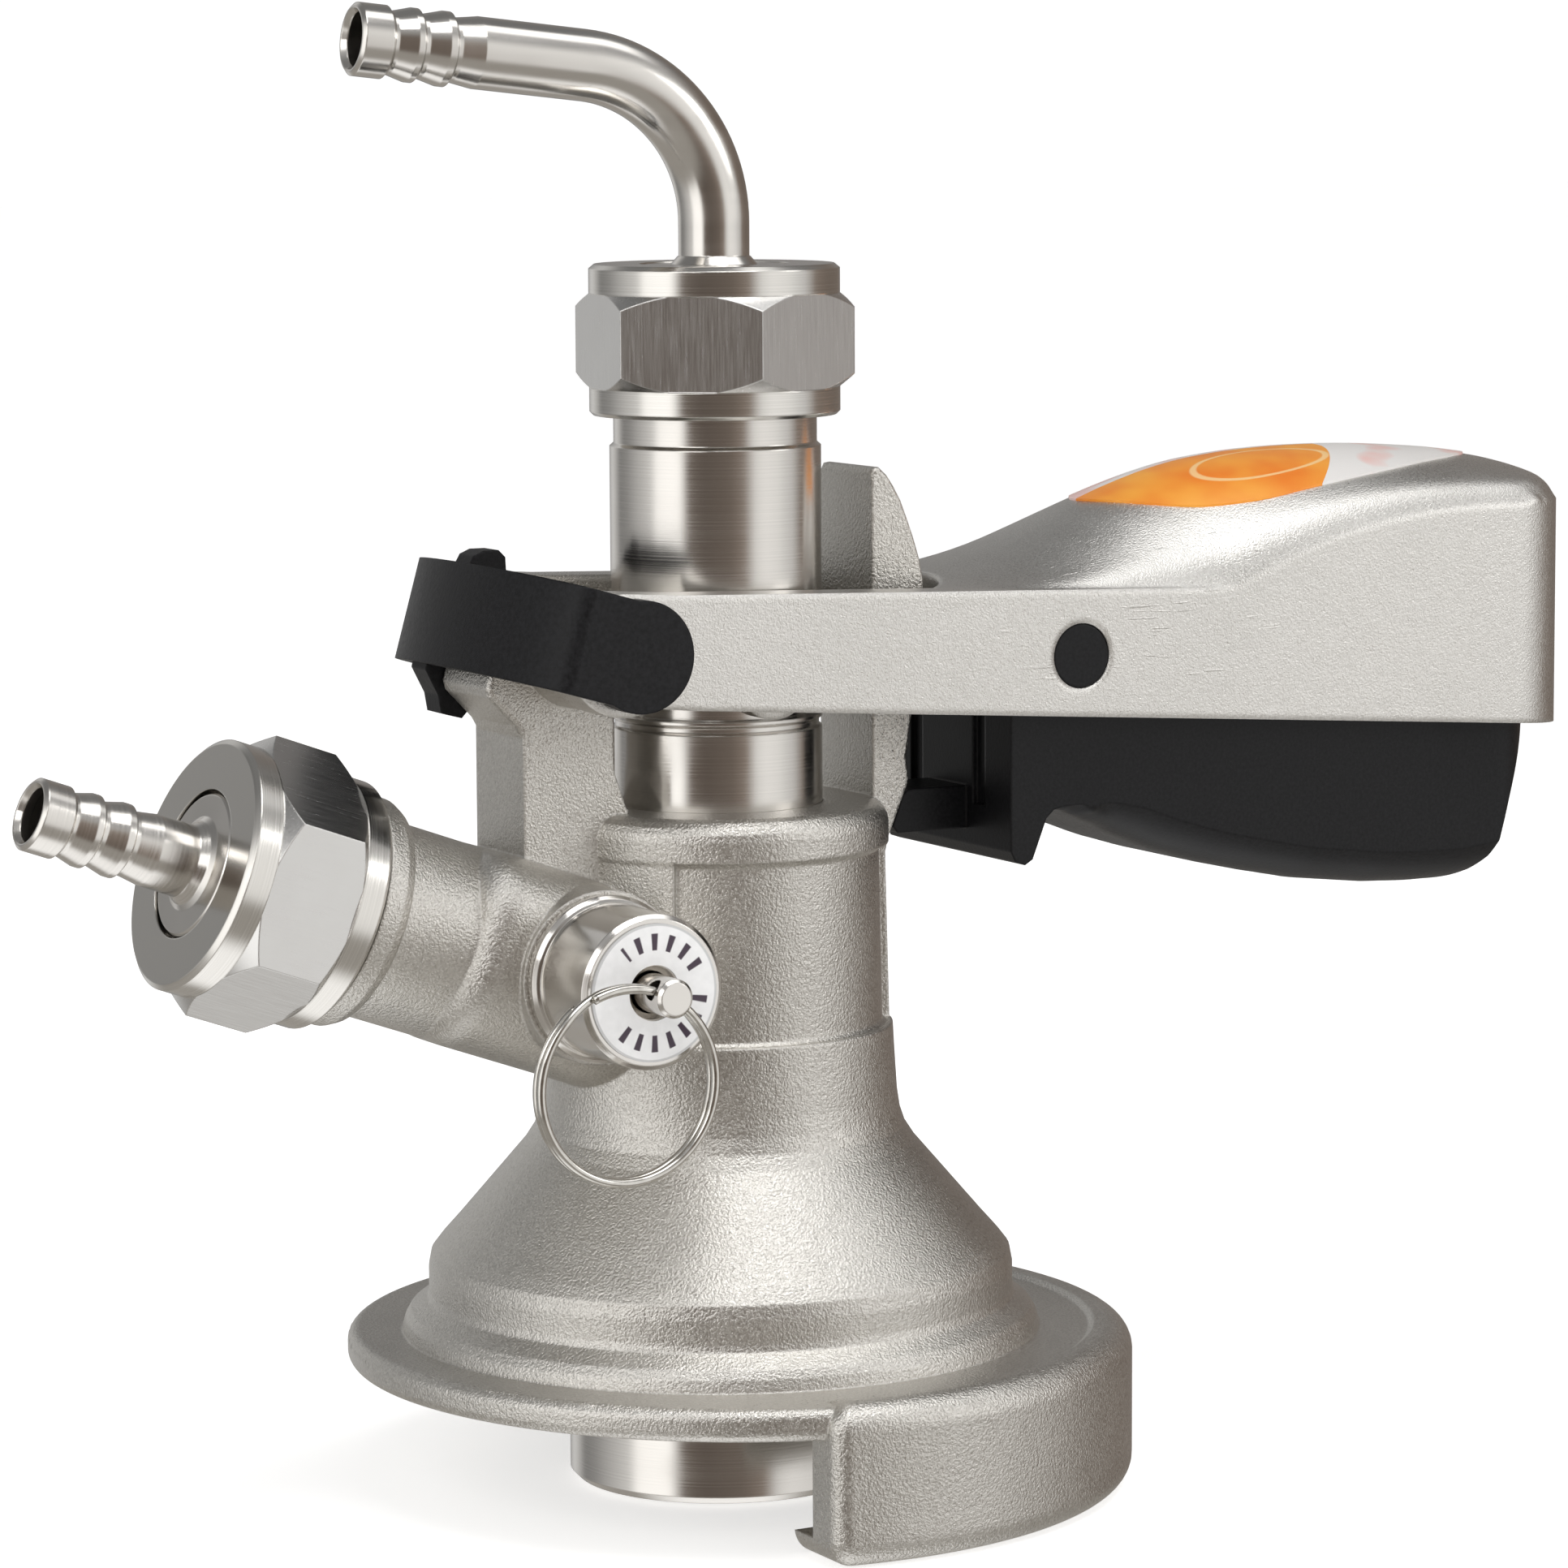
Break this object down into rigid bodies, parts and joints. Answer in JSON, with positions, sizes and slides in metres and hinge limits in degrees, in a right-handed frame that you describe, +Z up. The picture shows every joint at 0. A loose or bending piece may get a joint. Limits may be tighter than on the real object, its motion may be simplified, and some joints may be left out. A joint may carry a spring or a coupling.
{
  "type": "keg coupler",
  "caption": "Sliding keg coupler: cast bell with U-shaped slider skirt, lever handle with trigger lock, beer probe, gas inlet and pull-ring relief valve with barbed hose tails.",
  "frame": {"origin": "On the probe axis, at the plane that the skirt stands on", "axes": "+X points along the lever handle, -X along the gas inlet and the slider opening, -Y along the relief valve, +Z up along the probe"},
  "size_m": [0.1889, 0.092, 0.1639],
  "materials": {
    "cast_steel": "fine bead-blasted casting",
    "turned_steel": "turned and polished",
    "machined_steel": "machined, polished collars and ground hexagon",
    "spring_wire": "drawn wire",
    "black_plastic": "fine-textured moulding",
    "white_plastic": "smooth moulding",
    "seal_rubber": "smooth",
    "label": "printed film"
  },
  "bodies": {
    "body": {"body_casting": "cast_steel", "gas_nut": "machined_steel", "gas_washer": "seal_rubber", "gas_tail": "machined_steel", "gas_check_valve": "seal_rubber", "relief_body": "machined_steel", "relief_cap": "machined_steel", "relief_label": "label", "relief_spring": "spring_wire", "body_o_ring_lower": "seal_rubber", "body_o_ring_upper": "seal_rubber", "hinge_pin": "turned_steel", "hinge_clip": "black_plastic"},
    "probe": {"probe": "turned_steel", "probe_seal": "seal_rubber", "ball_cage": "white_plastic", "beer_nut": "machined_steel", "beer_washer": "seal_rubber", "beer_tail": "machined_steel"},
    "ball": {"check_ball": "turned_steel"},
    "handle": {"handle": "cast_steel", "handle_label": "label", "trigger_pin": "black_plastic", "trigger_spring": "spring_wire"},
    "trigger": {"trigger": "black_plastic"},
    "relief_stem": {"relief_pin": "turned_steel", "relief_seal": "seal_rubber"},
    "ring": {"pull_ring": "spring_wire"}
  },
  "joints": [
    {"name": "handle_hinge", "type": "hinge", "parent": "body", "child": "handle", "pos_m": [-0.0205, 0, 0.0948], "axis": [0, -1, 0], "range_deg": [0, 39]},
    {"name": "probe_slide", "type": "slide", "parent": "body", "child": "probe", "axis": [0, 0, 1], "range_m": [0, 0.0138]},
    {"name": "ball_lift", "type": "slide", "parent": "probe", "child": "ball", "axis": [0, 0, 1], "range_m": [0, 0.0032]},
    {"name": "trigger_hinge", "type": "hinge", "parent": "handle", "child": "trigger", "pos_m": [0.0366, 0, 0.0918], "axis": [0, -1, 0], "range_deg": [0, 6], "stiffness_Nm_per_rad": 0.35, "springref_deg": -20.05},
    {"name": "relief_pull", "type": "slide", "parent": "body", "child": "relief_stem", "axis": [0, -1, 0], "range_m": [0, 0.0025], "stiffness_N_per_m": 900, "springref_m": -0.004, "deforming": ["relief_spring"]},
    {"name": "ring_swing", "type": "hinge", "parent": "relief_stem", "child": "ring", "pos_m": [-0.0213, -0.0281, 0.0598], "axis": [-0.8818, 0, 0.4717], "range_deg": [-5, 95]}
  ],
  "couplings": [
    {"joint": "probe_slide", "follows": "handle_hinge", "m_per_rad": 0.0201}
  ]
}
